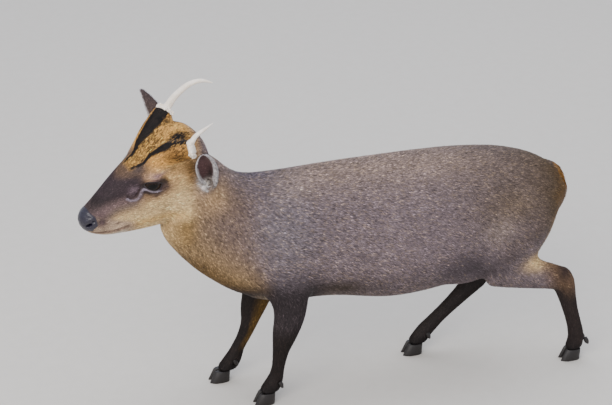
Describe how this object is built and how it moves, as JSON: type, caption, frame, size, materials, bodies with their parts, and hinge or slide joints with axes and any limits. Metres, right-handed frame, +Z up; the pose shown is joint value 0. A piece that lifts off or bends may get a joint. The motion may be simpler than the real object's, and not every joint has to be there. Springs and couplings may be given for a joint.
{
  "type": "reeves's muntjac, life-size still model",
  "caption": "Small stocky male deer shown in mid-walk, with backswept antlers on furred stalks, upright ears, a short tail and cloven hooves.",
  "frame": {"origin": "on the floor under the middle of the bounding box", "axes": "+Z up; the animal walks towards -X, and its left side faces -Y; lengths in metres"},
  "size_m": [0.9386, 0.2608, 0.6197],
  "materials": {
    "coat": "short grizzled grey-brown coat",
    "golden_coat": "short ochre coat",
    "dark_coat": "short blackish coat",
    "nose": "wet bare leather",
    "eye": "wet dark eye",
    "antler": "ridged pale bone",
    "hoof": "dark keratin"
  },
  "bodies": {
    "root": {"torso": "coat", "neck": "coat", "ear_left": "coat", "ear_right": "coat", "hindleg_left_upper": "coat", "hindleg_right_upper": "coat", "head": "golden_coat", "tail": "golden_coat", "foreleg_left_upper": "dark_coat", "foreleg_left_lower": "dark_coat", "foreleg_right_upper": "dark_coat", "foreleg_right_lower": "dark_coat", "hindleg_left_lower": "dark_coat", "hindleg_right_lower": "dark_coat", "nose": "nose", "eye_left": "eye", "eye_right": "eye", "antler_left": "antler", "antler_right": "antler", "hoof_fore_left_outer": "hoof", "dewclaw_fore_left_outer": "hoof", "hoof_fore_left_inner": "hoof", "dewclaw_fore_left_inner": "hoof", "hoof_fore_right_outer": "hoof", "dewclaw_fore_right_outer": "hoof", "hoof_fore_right_inner": "hoof", "dewclaw_fore_right_inner": "hoof", "hoof_hind_left_outer": "hoof", "dewclaw_hind_left_outer": "hoof", "hoof_hind_left_inner": "hoof", "dewclaw_hind_left_inner": "hoof", "hoof_hind_right_outer": "hoof", "dewclaw_hind_right_outer": "hoof", "hoof_hind_right_inner": "hoof", "dewclaw_hind_right_inner": "hoof"}
  },
  "joints": []
}
